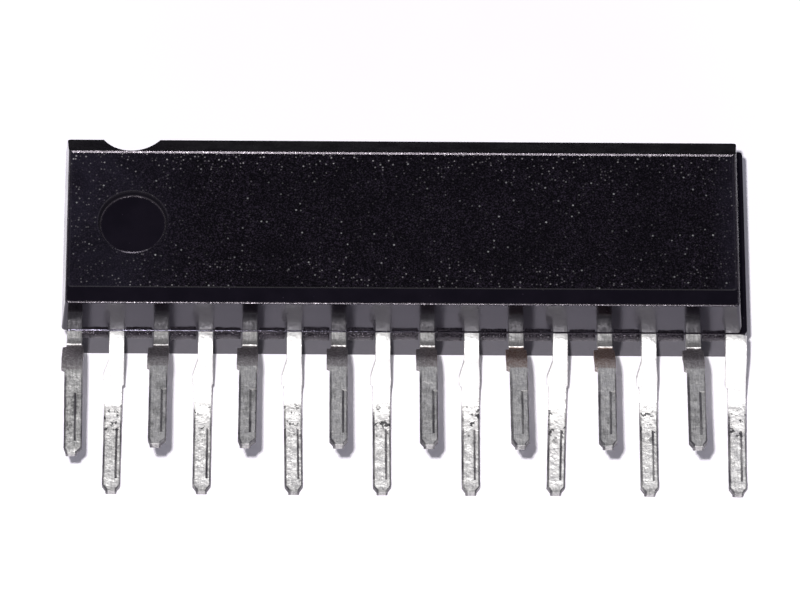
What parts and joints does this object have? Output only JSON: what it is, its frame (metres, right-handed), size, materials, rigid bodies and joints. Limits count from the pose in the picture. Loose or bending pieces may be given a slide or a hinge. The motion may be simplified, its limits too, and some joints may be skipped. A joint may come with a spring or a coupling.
{
  "type": "zigzag in-line integrated circuit",
  "caption": "Black moulded chip package with bevelled, notched top edge, round lead-one dimple and one line of leads bent into two rows, lying on its back.",
  "frame": {"origin": "centre of the flat back face of the moulded body", "axes": "+Z out of the marking face, +X along the row of leads away from lead 1, +Y towards the notched edge, so the leads point along -Y"},
  "size_m": [0.0197, 0.0105, 0.0032],
  "materials": {
    "moulding_compound": "matte marking face, polished walls",
    "tinned_lead": "dull tin plate over copper alloy",
    "bare_strip": "plain copper alloy strip",
    "silicon": "polished",
    "adhesive": "cured paste",
    "gold_wire": "bright"
  },
  "bodies": {
    "root": {"moulded_body": "moulding_compound", "die_paddle": "bare_strip", "die_attach": "adhesive", "silicon_die": "silicon", "bond_wires": "gold_wire", "lead_01": "tinned_lead", "lead_02": "tinned_lead", "lead_03": "tinned_lead", "lead_04": "tinned_lead", "lead_05": "tinned_lead", "lead_06": "tinned_lead", "lead_07": "tinned_lead", "lead_08": "tinned_lead", "lead_09": "tinned_lead", "lead_10": "tinned_lead", "lead_11": "tinned_lead", "lead_12": "tinned_lead", "lead_13": "tinned_lead", "lead_14": "tinned_lead", "lead_15": "tinned_lead", "lead_16": "tinned_lead"}
  },
  "joints": []
}
